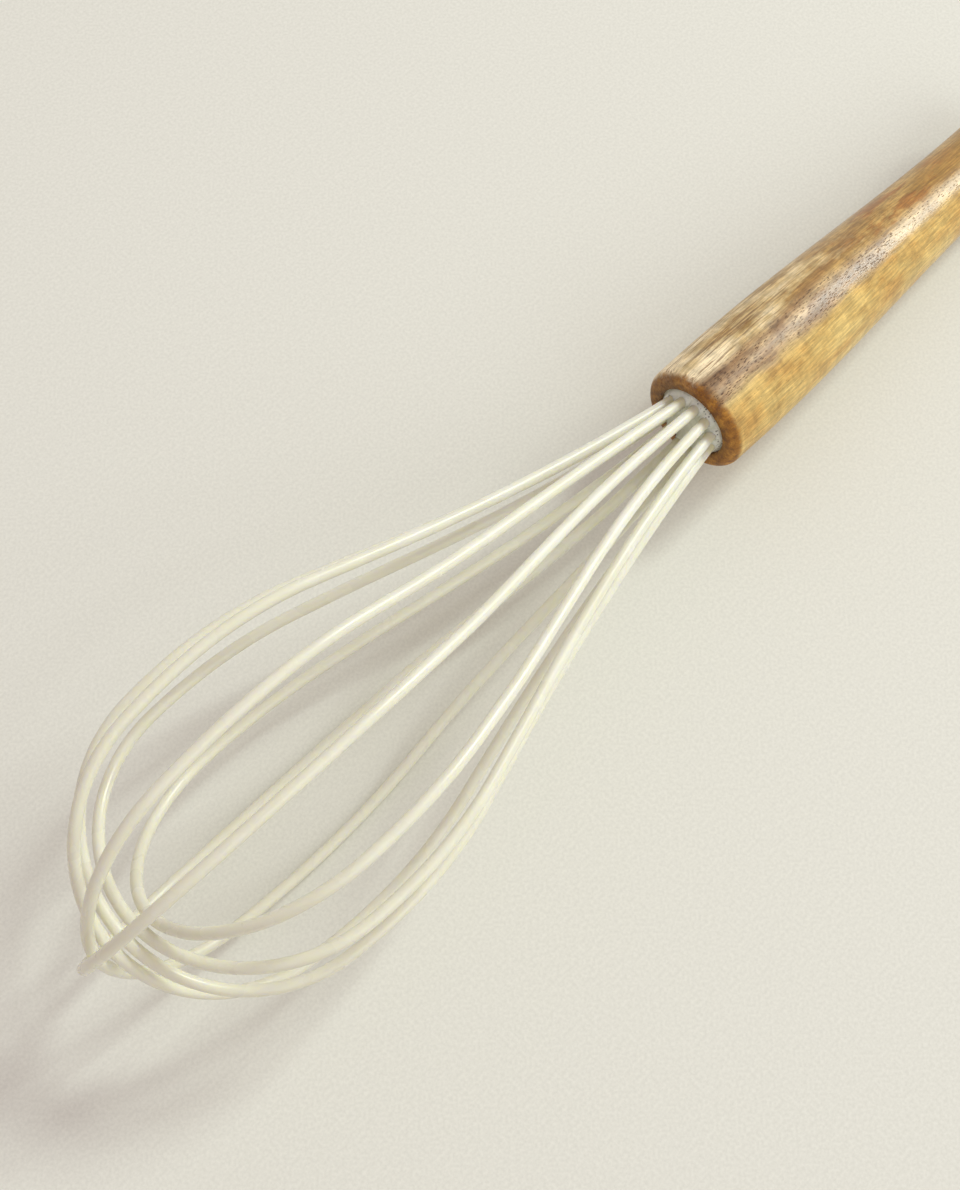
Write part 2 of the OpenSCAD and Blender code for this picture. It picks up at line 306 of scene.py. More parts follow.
# %% Drill with a cutter, as a boolean that is applied at once
def drilled(piece, cutter_shape):
    """Cuts a closed mesh, made along the whisk's own axis, out of a finished piece."""
    bmesh.ops.transform(cutter_shape, matrix=LAID, verts=cutter_shape.verts)
    bmesh.ops.recalc_face_normals(cutter_shape, faces=cutter_shape.faces)
    cutter_mesh = bpy.data.meshes.new("cutter")
    cutter_shape.to_mesh(cutter_mesh)
    cutter_shape.free()
    cutter = bpy.data.objects.new("cutter", cutter_mesh)
    bpy.context.scene.collection.objects.link(cutter)
    cut = piece.modifiers.new("cut", "BOOLEAN")
    cut.operation, cut.solver, cut.object = "DIFFERENCE", "EXACT", cutter
    bpy.context.view_layer.update()
    result = piece.evaluated_get(bpy.context.evaluated_depsgraph_get())
    mesh = bpy.data.meshes.new_from_object(result)
    mesh.shade_smooth()
    piece.modifiers.clear()
    whole = piece.data
    piece.data = mesh
    bpy.data.meshes.remove(whole)
    mesh.name = piece.name
    bpy.data.objects.remove(cutter)
    bpy.data.meshes.remove(cutter_mesh)
    print(piece.name, "has", len(mesh.polygons), "faces after the cut")


# %% Turn the handle and drill its hang hole
HANG_R = 2.5 * MM
HANG_EASE = 0.8 * MM
CLEAR_OUT = 8 * MM
HANDLE_SIDES, DRILL_SIDES = 144, 48
HOLE_CREASE = math.radians(35)
handle = finish_piece(turned_body(outline, HANDLE_SIDES), "turned_handle", ("handle",))
hole_end = BUTT_R - HANG_EASE
drill_end = hole_end + CLEAR_OUT
drill_line = [(-drill_end, 0), (-drill_end, HANG_R + CLEAR_OUT), (-hole_end, HANG_R),
              (hole_end, HANG_R), (drill_end, HANG_R + CLEAR_OUT), (drill_end, 0)]
drilled(handle, turned_body(drill_line, DRILL_SIDES, (-BUTT_AT, 0, 0), (0, 1, 0)))
handle.data.set_sharp_from_angle(angle=HOLE_CREASE)

# %% [markdown]
# ## The poured resin
# The resin was poured round the wires while they stood in the bore. It has a low dome, and where it
# wets a wire it climbs it in a small hollow curve. A fine disc is turned first. Each point of its top
# is then lifted by how near it is to a wire, and the wires' holes are cut last. The lifted faces are
# no longer flat, so they are split into triangles, which are, and the cut leaves no slivers.

# %% Turn the plug with a finely divided top
SEAL_SINK = 1 * MM
SEAL_RISE = 1.4 * MM
SEAL_DEPTH = 20 * MM
DOME_STEPS, PLUG_SIDES = 52, 264
seal_r = BORE_R - FIT_GAP
dome_r = (seal_r ** 2 + SEAL_RISE ** 2) / 2 / SEAL_RISE


def dome_height(r):
    """How far along the axis the dome's surface is at a radius, before the wires draw it up."""
    return -SEAL_SINK + SEAL_RISE - dome_r + math.sqrt(dome_r ** 2 - r ** 2)


dome = [(dome_height(seal_r * k / DOME_STEPS), seal_r * k / DOME_STEPS) for k in range(DOME_STEPS, -1, -1)]
plug = turned_body([(-SEAL_DEPTH, 0), (-SEAL_DEPTH, seal_r)] + dome, PLUG_SIDES)
print("the plug starts with", len(plug.verts), "points")

# %% Draw the resin up round each wire
CLIMB = 2.1 * MM
CLIMB_FADE = 0.8 * MM
WALL_MARGIN = 0.9 * MM
for v in plug.verts:
    off_axis = math.hypot(v.co.y, v.co.z)
    if v.co.x > -SEAL_DEPTH / 2:
        turn = math.atan2(v.co.y, v.co.z) - ring_turn(5)
        from_wire = turn - round(turn / PITCH) * PITCH
        aside, out = off_axis * math.sin(from_wire), off_axis * math.cos(from_wire)
        gap = max(0, math.hypot(aside, out - root_y - v.co.x * math.tan(ROOT_ANGLE)) - SLEEVE_R)
        v.co.x += CLIMB * math.exp(-gap / CLIMB_FADE) * ease((seal_r - off_axis) / WALL_MARGIN)
bmesh.ops.triangulate(plug, faces=plug.faces)
plug_piece = finish_piece(plug, "poured_resin", ("resin_seal",))


# %% Cut the holes in which the sleeves and the steel tails stand
HOLE_TOP = 12 * MM
DEEPER = 2 * MM
OVERLAP = 1 * MM
FOOT_CREASE = math.radians(38)


def root_rods(radius, tail, stop_at=None):
    """Twelve closed rods that follow the wires' roots, or only their straight tails."""
    shape = bmesh.new()
    for k in range(WIRES_IN_RING):
        before = set(shape.verts)
        if stop_at is None:
            first, last = root_run(shape, radius, tail, SLEEVE_SIDES)
            end = (HOLE_TOP * math.cos(ROOT_ANGLE), HOLE_TOP * math.sin(ROOT_ANGLE), 0)
            last = pushed(shape, last, end)
        else:
            first = tail_ring(shape, radius, tail, SLEEVE_SIDES)
            last = pushed(shape, first, (tail - stop_at, 0, 0))
        bmesh.ops.holes_fill(shape, edges=first + last, sides=0)
        added = [v for v in shape.verts if v not in before]
        place = Matrix.Rotation(math.pi / 2 - ring_turn(5) - k * PITCH, 3, "X")
        bmesh.ops.rotate(shape, cent=(0, 0, 0), matrix=place, verts=added)
    return shape


drilled(plug_piece, root_rods(CORE_R + FIT_GAP, SEAL_DEPTH + DEEPER, SLEEVE_TAIL - OVERLAP))
drilled(plug_piece, root_rods(SLEEVE_R + FIT_GAP, SLEEVE_TAIL + FIT_GAP))
plug_piece.data.set_sharp_from_angle(angle=FOOT_CREASE)

# %% [markdown]
# ## Finishes
# Every material is made of nodes on the mesh's own coordinates, so it stays on the piece wherever the
# camera or the piece goes. A group turns those coordinates back into the whisk's own: millimetres
# from the mouth, with X along the axis. Grain can then run along the handle, and a mark can be put at
# a known place.


# %% Short ways to add nodes and to write colours
def add(tree, kind, inputs=None, **settings):
    """Adds a node. Its inputs are values, or sockets to be linked."""
    made = tree.nodes.new(kind)
    for key, value in settings.items():
        setattr(made, key, value)
    for key, value in (inputs or {}).items():
        if isinstance(value, bpy.types.NodeSocket):
            tree.links.new(value, made.inputs[key])
        else:
            made.inputs[key].default_value = value
    return made


def sum_of(tree, operation, *values):
    """A maths node with its values or sockets in order."""
    return add(tree, "ShaderNodeMath", dict(enumerate(values)), operation=operation).outputs[0]


def spread(tree, value, low, high, to_low=0.0, to_high=1.0):
    """Maps a value between two limits onto two others with a soft start and end."""
    inputs = {"Value": value, "From Min": low, "From Max": high, "To Min": to_low, "To Max": to_high}
    return add(tree, "ShaderNodeMapRange", inputs, interpolation_type="SMOOTHSTEP").outputs[0]


def paint(red, green, blue):
    """A colour as it looks on a screen, 0 to 255, as the shader wants it."""
    return tuple(((c / 255 + 0.055) / 1.055) ** 2.4 if c > 10 else c / 255 / 12.92
                 for c in (red, green, blue)) + (1,)


# %% The whisk's own coordinates as a group
def socket(group, name, side, kind="NodeSocketFloat", start=None):
    """Gives a group a named input or output."""
    made = group.interface.new_socket(name, in_out=side, socket_type=kind)
    if start is not None:
        made.default_value = start


def make_place_group():
    """Gives the place on the whisk in millimetres, and the distance from its axis."""
    group = bpy.data.node_groups.new("place_on_whisk", "ShaderNodeTree")
    socket(group, "Place", "OUTPUT", "NodeSocketVector")
    socket(group, "Along", "OUTPUT")
    socket(group, "Off axis", "OUTPUT")
    seen = add(group, "ShaderNodeTexCoord").outputs["Object"]
    laid_down = {"Location": (-MIDDLE, 0, LIFT), "Rotation": (0, -TILT, 0), "Scale": (MM, MM, MM)}
    own = add(group, "ShaderNodeMapping", {"Vector": seen, **laid_down}, vector_type="TEXTURE").outputs[0]
    split = add(group, "ShaderNodeSeparateXYZ", {0: own}).outputs
    flat = add(group, "ShaderNodeCombineXYZ", {"Y": split["Y"], "Z": split["Z"]}).outputs[0]
    off_axis = add(group, "ShaderNodeVectorMath", {0: flat}, operation="LENGTH").outputs["Value"]
    add(group, "NodeGroupOutput", {"Place": own, "Along": split["X"], "Off axis": off_axis})
    return group


PLACE = make_place_group()


# %% Faint unevenness that every smooth surface has, as a group
def make_skin_group():
    """Slow blotches and a fine skin, for roughness, colour and bump of moulded and poured things."""
    group = bpy.data.node_groups.new("uneven_skin", "ShaderNodeTree")
    socket(group, "Place", "INPUT", "NodeSocketVector")
    socket(group, "Blotch size", "INPUT", start=0.12)
    socket(group, "Skin size", "INPUT", start=2.2)
    socket(group, "Blotches", "OUTPUT")
    socket(group, "Skin", "OUTPUT")
    given = add(group, "NodeGroupInput").outputs
    slow = add(group, "ShaderNodeTexNoise", {"Vector": given["Place"], "Scale": given["Blotch size"],
                                             "Detail": 3.0, "Roughness": 0.55}).outputs["Fac"]
    fine = add(group, "ShaderNodeTexNoise", {"Vector": given["Place"], "Scale": given["Skin size"],
                                             "Detail": 2.0, "Roughness": 0.5}).outputs["Fac"]
    add(group, "NodeGroupOutput", {"Blotches": slow, "Skin": fine})
    return group


SKIN = make_skin_group()
print("groups:", PLACE.name, "and", SKIN.name)


# %% What every material starts with, and how it is finished
def with_skin(tree, place, blotch_size, skin_size):
    """The unevenness group, set for one material."""
    made = add(tree, "ShaderNodeGroup", node_tree=SKIN)
    made.inputs["Blotch size"].default_value = blotch_size
    made.inputs["Skin size"].default_value = skin_size
    tree.links.new(place["Place"], made.inputs["Place"])
    return made.outputs


def material_with(name):
    """A fresh material with its shader and the whisk's own coordinates at hand."""
    material = bpy.data.materials.new(name)
    material.use_nodes = True
    tree = material.node_tree
    place = add(tree, "ShaderNodeGroup", node_tree=PLACE)
    return material, tree, tree.nodes["Principled BSDF"], place.outputs


def set_all(shader, **values):
    """Sets values that are the same all over on the shader's own sockets."""
    for name, value in values.items():
        shader.inputs[name.replace("_", " ")].default_value = value


def uneven_gloss(tree, shader, mask, least, more):
    """Roughness with a least value, and so much more where a mask is full."""
    tree.links.new(sum_of(tree, "MULTIPLY_ADD", mask, more, least), shader.inputs["Roughness"])


def bumped(tree, shader, height, strength, distance):
    """Lets a height move the shader's normal."""
    bump = add(tree, "ShaderNodeBump", {"Height": height, "Strength": strength, "Distance": distance})
    tree.links.new(bump.outputs["Normal"], shader.inputs["Normal"])


# The Mix node has sockets for several kinds of data. These are its colour sockets.
COLOUR_A, COLOUR_B, COLOUR_OUT = 6, 7, 2


def mixed(tree, share, first, second, blend="MIX"):
    """Mixes two colours by a share, which may be a value or a socket."""
    made = add(tree, "ShaderNodeMix", {"Factor": share, COLOUR_A: first, COLOUR_B: second},
               data_type="RGBA", blend_type=blend, clamp_factor=True)
    return made.outputs[COLOUR_OUT]


# %% [markdown]
# ### Wood
# The handle was turned from one stick whose layers stand upright: straw with brown stripes on one
# side, a brown-grey layer with open pores along the top, and plain golden wood on the other side. A
# picture of wood could be wrapped round it, but it would have a seam and wouldn't fit the cut ends.
# Here the colour is worked out through the whole stick, so the lathe's cut shows it rightly
# everywhere. A mask across the stick gives the layers. Noise that is long along the grain gives
# fibres and stripes, short dashes are the pores, and noise that is short along the grain is the faint
# cross figure. The mouth and the butt cut across the fibres, which drink more oil and go dark. A
# mask's two limits say where it begins and where it is full, and four say what it gives there too.
# Places are millimetres from the mouth or from the axis, and an offset takes another patch of noise.

# %% The wood's colours: where the noise puts each, and the colour as it looks on a screen
STRAW = [(0.38, paint(243, 224, 183)), (0.56, paint(211, 184, 129)), (0.68, paint(170, 134, 76)),
         (0.78, paint(194, 158, 92)), (0.90, paint(172, 132, 66))]
BAND = [(0.46, paint(118, 82, 46)), (0.62, paint(158, 122, 78)), (0.80, paint(214, 184, 134))]
GOLD = [(0.36, paint(192, 150, 78)), (0.50, paint(210, 175, 100)), (0.64, paint(220, 190, 116))]
CUT_END = [(0.36, paint(112, 64, 8)), (0.50, paint(150, 94, 14)), (0.66, paint(188, 130, 38))]
STRIPE, STREAK = paint(126, 86, 44), paint(138, 96, 52)
HEART, PORE = paint(156, 100, 42), paint(70, 42, 26)
print("colours in the layers:", len(STRAW), "straw,", len(BAND), "band,", len(GOLD), "gold")


# %% Coordinates and noise that are stretched along the grain
def stretched(tree, place, along, across, offset=(0, 0, 0), skew=0.0):
    """Coordinates with so many features per millimetre along the grain and across it."""
    return add(tree, "ShaderNodeMapping", {"Vector": place["Place"], "Location": offset,
                                           "Rotation": (0, 0, skew),
                                           "Scale": (along, across, across)}).outputs[0]


def grain(tree, place, along, across, offset=(0, 0, 0), skew=0.0, detail=2.0, roughness=0.5, bend=0.0):
    """Noise with so many features per millimetre along the grain and across it."""
    at = stretched(tree, place, along, across, offset, skew)
    return add(tree, "ShaderNodeTexNoise", {"Vector": at, "Scale": 1.0, "Detail": detail,
                                            "Roughness": roughness, "Distortion": bend}).outputs["Fac"]


# %% Short ways to mix: a ramp, a product of masks, and light or shade
def ramp(tree, value, stops):
    """A colour ramp from a list of (position, colour)."""
    made = add(tree, "ShaderNodeValToRGB", {"Fac": value})
    points = made.color_ramp.elements
    for point, (position, colour) in zip(points, (stops[0], stops[-1])):
        point.position, point.color = position, colour
    for position, colour in stops[1:-1]:
        points.new(position).color = colour
    return made.outputs["Color"]


def product(tree, *values):
    """The product of all the given masks."""
    result = values[0]
    for value in values[1:]:
        result = sum_of(tree, "MULTIPLY", result, value)
    return result


def all_but(tree, mask):
    """The mask of everything outside another one."""
    return sum_of(tree, "SUBTRACT", 1.0, mask)


def swayed(tree, value, noise, strength):
    """A value that a noise moves to both sides, since noise lies about one half."""
    return sum_of(tree, "MULTIPLY_ADD", sum_of(tree, "SUBTRACT", noise, 0.5), strength, value)


def shaded(tree, colour, light):
    """Makes a colour lighter or darker by a factor."""
    grey = add(tree, "ShaderNodeCombineColor", {0: light, 1: light, 2: light}).outputs[0]
    return mixed(tree, 1.0, colour, grey, "MULTIPLY")


# %% Where a point of the stick lies, with the grain's slow wander
WANDER_BY, WAVE_BY = 4.0, 3.0
wood, tree, shader, place = material_with("oiled_wood")
back = sum_of(tree, "MULTIPLY", place["Along"], -1.0)
sideways = add(tree, "ShaderNodeSeparateXYZ", {0: place["Place"]}).outputs["Y"]
wander = grain(tree, place, along=0.022, across=0.07, detail=3.0)
wave = grain(tree, place, along=0.11, across=0.16, offset=(31, 7, 3))
level = swayed(tree, swayed(tree, sideways, wander, WANDER_BY), wave, WAVE_BY)

# %% Three layers of the stick: straw, a porous grey-brown band, and gold
BAND_LEAN, GOLD_LEAN = -0.035, 0.020
BAND_EDGE, GOLD_EDGE = (-4.0, -1.2), (4.2, 7.0)
STRAW_DARKENS, BAND_TONE_AND_HIGHLIGHT = 0.0048, 0.0035
LIGHTER_STRAW = 0.09
golden = spread(tree, sum_of(tree, "MULTIPLY_ADD", back, GOLD_LEAN, level), *GOLD_EDGE)
past_straw = spread(tree, sum_of(tree, "MULTIPLY_ADD", back, BAND_LEAN, level), *BAND_EDGE)
porous = product(tree, past_straw, all_but(tree, golden))
smudge = grain(tree, place, along=0.07, across=0.16, offset=(2, 8, 5), detail=4.0, roughness=0.62)
straw_smudge = sum_of(tree, "SUBTRACT", smudge, LIGHTER_STRAW)
straw_at = sum_of(tree, "MULTIPLY_ADD", back, STRAW_DARKENS, straw_smudge)
# The band runs from darker at the mouth to lighter farther back. This is partly its own tone and partly
# painted highlight that grows away from the mouth, and the darker mouth end holds back the lamp's highlight
# there.
band_at = sum_of(tree, "MULTIPLY_ADD", back, BAND_TONE_AND_HIGHLIGHT, smudge)
coloured = mixed(tree, porous, ramp(tree, straw_at, STRAW), ramp(tree, band_at, BAND))
coloured = mixed(tree, golden, coloured, ramp(tree, smudge, GOLD))

# %% Dark stripes in the straw
STRIPE_LEAN = math.radians(9)
STRIPE_LIMITS = (0.53, 0.61)
STRIPE_FADE = (60, 22, 0.30, 0.70)
stripes = grain(tree, place, along=0.055, across=1.25, skew=STRIPE_LEAN, detail=4.0, roughness=0.6, bend=0.5)
on_straw = product(tree, all_but(tree, porous), all_but(tree, golden))
stripe_share = product(tree, spread(tree, stripes, *STRIPE_LIMITS), on_straw,
                       spread(tree, back, *STRIPE_FADE))
coloured = mixed(tree, stripe_share, coloured, STRIPE)

# %% The brown streak beside the band
STREAK_LEAN, STREAK_ASIDE = 0.147, -3.65
STREAK_WIDTH = (2.4, 0.3)
STREAK_START, STREAK_END = (24, 36), (76, 60)
STREAK_PATCHES = (0.30, 0.60, 0.5, 1.0)
STREAK_SHARE = 0.62
streak_line = sum_of(tree, "MULTIPLY_ADD", back, STREAK_LEAN, sideways)
from_streak = sum_of(tree, "ABSOLUTE", sum_of(tree, "ADD", streak_line, STREAK_ASIDE))
streak = product(tree, spread(tree, from_streak, *STREAK_WIDTH), spread(tree, back, *STREAK_START),
                 spread(tree, back, *STREAK_END), spread(tree, smudge, *STREAK_PATCHES), STREAK_SHARE)
coloured = mixed(tree, streak, coloured, STREAK)

# %% The reddish heartwood, a long egg-shaped place with a broken edge
HEART_MIDDLE = (2.70, 0.62, -0.95)
HEART_EDGE, HEART_BREAKS = (1.10, 0.45), (0.50, 0.62)
HEART_SHARE = 0.80
in_heart = stretched(tree, place, along=0.034, across=0.105, offset=HEART_MIDDLE)
heart = add(tree, "ShaderNodeVectorMath", {0: in_heart}, operation="LENGTH").outputs["Value"]
heart_noise = grain(tree, place, along=0.10, across=0.30, offset=(5, 9, 2), detail=4.0, roughness=0.62)
heart_share = product(tree, spread(tree, heart, *HEART_EDGE), spread(tree, heart_noise, *HEART_BREAKS),
                      HEART_SHARE)
coloured = mixed(tree, heart_share, coloured, HEART)

# %% Figure across the grain and fibres along it
FIGURE_LIGHT = (0.32, 0.68, 0.87, 1.10)
COARSE_LIGHT = (0.36, 0.64, 0.88, 1.09)
FIBRE_LIGHT = (0.37, 0.63, 0.80, 1.15)
figure = grain(tree, place, along=0.40, across=0.07, offset=(3, 1, 8), detail=3.0, roughness=0.65)
coarse = grain(tree, place, along=0.10, across=1.5, offset=(9, 2, 4), roughness=0.6)
fibres = grain(tree, place, along=0.22, across=2.4, detail=3.0, roughness=0.65)
for noise, light in ((figure, FIGURE_LIGHT), (coarse, COARSE_LIGHT), (fibres, FIBRE_LIGHT)):
    coloured = shaded(tree, coloured, spread(tree, noise, *light))

# %% Open pores, which stand in clusters and mostly in the band
DASH_EDGE = (1.1, 0.6)
SECOND_DASHES = (7.3, 4.1, 2.7)
CLUSTER_LIMITS = (0.40, 0.58)
PORE_WIDTH, WIDER_IN_BAND, WIDER_IN_CLUSTER = 0.15, 0.10, 0.05
PORE_SHARE, MORE_IN_BAND = 0.50, 0.30
LONE_SHARE, MORE_IN_CLUSTER = 0.55, 0.50


def pore_dashes(tree, place, offset, width):
    """Short dark dashes along the grain, a mask."""
    at = stretched(tree, place, along=0.55, across=2.5, offset=offset)
    cells = add(tree, "ShaderNodeTexVoronoi", {"Vector": at, "Scale": 1.0}).outputs["Distance"]
    return spread(tree, sum_of(tree, "DIVIDE", cells, width), *DASH_EDGE)


cluster_noise = grain(tree, place, along=0.06, across=0.42, offset=(4, 2, 9), detail=3.0)
clusters = spread(tree, cluster_noise, *CLUSTER_LIMITS)
wider = sum_of(tree, "MULTIPLY_ADD", clusters, WIDER_IN_CLUSTER, WIDER_IN_BAND)
pore_width = sum_of(tree, "MULTIPLY_ADD", porous, wider, PORE_WIDTH)
pores = sum_of(tree, "MAXIMUM", pore_dashes(tree, place, (0, 0, 0), pore_width),
               pore_dashes(tree, place, SECOND_DASHES, pore_width))
pore_share = product(tree, pores, sum_of(tree, "MULTIPLY_ADD", porous, MORE_IN_BAND, PORE_SHARE),
                     sum_of(tree, "MULTIPLY_ADD", clusters, MORE_IN_CLUSTER, LONE_SHARE))
coloured = mixed(tree, pore_share, coloured, PORE)

# %% The cut ends, which are darker and more orange, with a frayed edge where the rim rounds over, and painted shade towards the bore and on one side
MOUTH_CUT, BUTT_CUT = (-1.75, -0.25), (-132, -137)
FRAYED_BY, GOLD_FURTHER = 1.7, 0.9
BUTT_SHARE, CUT_SHARE = 0.6, 0.92
SHADE_TOWARDS_BORE, SHADE_ON_MINUS_Y_SIDE = (12.2, 9.6, 1.0, 0.66), (-2, -10, 1.0, 0.72)
CUT_FIBRES = (0.35, 0.65, 0.80, 1.14)
rings = grain(tree, place, along=0.35, across=0.50, offset=(1, 4, 6), detail=4.0, roughness=0.65)
edge_at = swayed(tree, swayed(tree, place["Along"], rings, FRAYED_BY), fibres, FRAYED_BY)
edge_at = sum_of(tree, "MULTIPLY_ADD", golden, GOLD_FURTHER, edge_at)
butt_end = product(tree, spread(tree, place["Along"], *BUTT_CUT), BUTT_SHARE)
cut_end = sum_of(tree, "MAXIMUM", spread(tree, edge_at, *MOUTH_CUT), butt_end)
end_grain = grain(tree, place, along=1.3, across=2.6, offset=(6, 3, 1), detail=3.0, roughness=0.6)
# Painted shade: the end face is made darker towards the bore and on its -Y side. The cut fibres vary its
# tone too.
end_shade_and_fibres = product(tree, spread(tree, place["Off axis"], *SHADE_TOWARDS_BORE), spread(tree, sideways, *SHADE_ON_MINUS_Y_SIDE),
                    spread(tree, end_grain, *CUT_FIBRES))
end_colour = shaded(tree, ramp(tree, rings, CUT_END), end_shade_and_fibres)
coloured = mixed(tree, product(tree, cut_end, CUT_SHARE), coloured, end_colour)
tree.links.new(coloured, shader.inputs["Base Color"])

# %% The oil's gloss, duller in pores, on cut ends and near the mouth, and the grain's relief
GLOSS = (0.3, 0.7, 0.28, 0.36)
DULL_PORES, DULL_CUT = 0.25, 0.2
DULL_MOUTH = (62, 8, 0.0, 0.20)
FIBRE_HEIGHT, COARSE_HEIGHT = 0.5, 0.6
wood_rough = sum_of(tree, "MULTIPLY_ADD", pores, DULL_PORES, spread(tree, wander, *GLOSS))
wood_rough = sum_of(tree, "MULTIPLY_ADD", cut_end, DULL_CUT, wood_rough)
wood_rough = sum_of(tree, "ADD", wood_rough, spread(tree, back, *DULL_MOUTH))
tree.links.new(wood_rough, shader.inputs["Roughness"])
relief = sum_of(tree, "ADD", product(tree, fibres, FIBRE_HEIGHT), product(tree, coarse, COARSE_HEIGHT))
bumped(tree, shader, sum_of(tree, "SUBTRACT", relief, pore_share), strength=0.5, distance=0.10 * MM)
set_all(shader, Coat_Weight=0.15, Coat_Roughness=0.25)
handle.data.materials.clear()
handle.data.materials.append(wood)
print("the wood has", len(tree.nodes), "nodes")

# %% [markdown]
# ### Silicone
# The sleeves are extruded tube: cream, satin, and a little see-through, so light that enters a sleeve
# comes out warmer on its shaded side. A darker paint would make the lit side dull too, so subsurface
# scattering is the way. The head's end is painted a little darker, as painted shade for the light
# that falls off towards the tip. Where the resin has wetted the first millimetres of a sleeve it is
# greyer and glossier, and painted shade makes that foot darker and more olive where it meets the resin.

# %% Cream silicone with painted shade towards the head's end and a resin-wet foot with painted shade
CREAM = [(0.30, paint(232, 229, 207)), (0.70, paint(239, 237, 220))]
SHADED_TIP, WET_AND_SHADED = paint(228, 224, 204), paint(198, 193, 153)
TIP_SHADE_RUN, WET_AND_SHADE_RUN = (40, 150, 0.0, 0.75), (4.6, 2.2)
WET_AND_SHADE_SHARE, WET_GLOSS = 0.55, -0.12
SATIN, SATIN_PATCHES = 0.20, 0.14
silicone, tree, shader, place = material_with("cream_silicone")
skin = with_skin(tree, place, blotch_size=0.09, skin_size=1.6)
# Painted shade: the cream is made darker towards the head's end, where the light falls off.
tip_shade = spread(tree, place["Along"], *TIP_SHADE_RUN)
wet_and_shaded_foot = spread(tree, place["Along"], *WET_AND_SHADE_RUN)
cream = mixed(tree, tip_shade, ramp(tree, skin["Blotches"], CREAM), SHADED_TIP)
# The resin-wet foot is greyer and glossier, and also painted darker and more olive: painted shade where the
# sleeves meet the resin.
cream = mixed(tree, product(tree, wet_and_shaded_foot, WET_AND_SHADE_SHARE), cream, WET_AND_SHADED)
tree.links.new(cream, shader.inputs["Base Color"])
satin = sum_of(tree, "MULTIPLY_ADD", skin["Blotches"], SATIN_PATCHES, SATIN)
uneven_gloss(tree, shader, wet_and_shaded_foot, least=satin, more=WET_GLOSS)
bumped(tree, shader, skin["Skin"], strength=0.12, distance=0.05 * MM)
set_all(shader, Subsurface_Weight=0.60, Subsurface_Radius=(1.0, 0.85, 0.30), Subsurface_Scale=1.2 * MM,
        IOR=1.42, Coat_Weight=0.25, Coat_Roughness=0.4)
for piece in sleeves:
    piece.data.materials.append(silicone)
print("the silicone has", len(tree.nodes), "nodes and is on", len(sleeves), "sleeves")

# %% [markdown]
# ### Resin, steel and the moulded holder
# The resin is a cloudy casting with specks of dust along one side of its edge. They could be small
# meshes, but dust lies inside the resin, so a cell texture cut down to its dots is truer. The steel is
# drawn wire with fine lines along it. The holder comes out of a mould with a dull, even grain.

# %% Cloudy resin with specks near its edge
CLOUDY, DUST = [(0.30, paint(212, 216, 200)), (0.70, paint(238, 241, 226))], paint(52, 54, 36)
SPECK_CELLS_PER_MM, SPECK_SIZE = 1.45, (0.40, 0.24)
RESIN_EDGE, DUSTY_SIDE = (7.4, 8.9), (-5, 2)
DUST_PATCHES, DUST_SHARE = (0.36, 0.52, 0.3, 1.0), 0.9
resin, tree, shader, place = material_with("cloudy_resin")
skin = with_skin(tree, place, blotch_size=0.45, skin_size=3.0)
cells = add(tree, "ShaderNodeTexVoronoi", {"Vector": place["Place"], "Scale": SPECK_CELLS_PER_MM})
sideways = add(tree, "ShaderNodeSeparateXYZ", {0: place["Place"]}).outputs["Y"]
dusty = product(tree, spread(tree, place["Off axis"], *RESIN_EDGE), spread(tree, sideways, *DUSTY_SIDE),
                spread(tree, skin["Blotches"], *DUST_PATCHES))
specks = product(tree, spread(tree, cells.outputs["Distance"], *SPECK_SIZE), dusty, DUST_SHARE)
cloudy = mixed(tree, specks, ramp(tree, skin["Blotches"], CLOUDY), DUST)
tree.links.new(cloudy, shader.inputs["Base Color"])
uneven_gloss(tree, shader, skin["Blotches"], least=0.22, more=0.2)
bumped(tree, shader, skin["Skin"], strength=0.2, distance=0.08 * MM)
set_all(shader, Subsurface_Weight=0.3, Subsurface_Radius=(1.0, 0.95, 0.8), Subsurface_Scale=1.2 * MM)
plug_piece.data.materials.append(resin)
print("the resin has", len(tree.nodes), "nodes")

# %% Drawn steel wire
DRAWN = [(0.3, paint(166, 168, 170)), (0.7, paint(196, 198, 200))]
steel, tree, shader, place = material_with("drawn_steel")
lines = grain(tree, place, along=0.15, across=9.0, detail=3.0)
tree.links.new(ramp(tree, lines, DRAWN), shader.inputs["Base Color"])
uneven_gloss(tree, shader, lines, least=0.22, more=0.2)
bumped(tree, shader, lines, strength=0.2, distance=0.02 * MM)
set_all(shader, Metallic=1.0)
for piece in cores:
    piece.data.materials.append(steel)
print("the steel is on", len(cores), "wires")

# %% Moulded plastic of the hidden holder
MOULDED = [(0.3, paint(206, 205, 200)), (0.7, paint(218, 217, 212))]
holder_plastic, tree, shader, place = material_with("moulded_plastic")
skin = with_skin(tree, place, blotch_size=0.2, skin_size=5.0)
tree.links.new(ramp(tree, skin["Blotches"], MOULDED), shader.inputs["Base Color"])
uneven_gloss(tree, shader, skin["Skin"], least=0.4, more=0.25)
bumped(tree, shader, skin["Skin"], strength=0.25, distance=0.05 * MM)
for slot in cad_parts["wire_holder"].material_slots:
    slot.material = holder_plastic
print("materials:", sorted(m.name for m in bpy.data.materials))

# %% [markdown]
# ## The table, the light and the camera
# The photo shows the whisk on a pale, warm table under one large lamp behind the handle and a lot of
# soft light from all round. The shadows run off along the whisk's axis, past the tip. A bent backdrop
# could hide the table's far edge. Here the table's own material goes over into the backdrop's colour
# before that edge, which looks the same from every side.

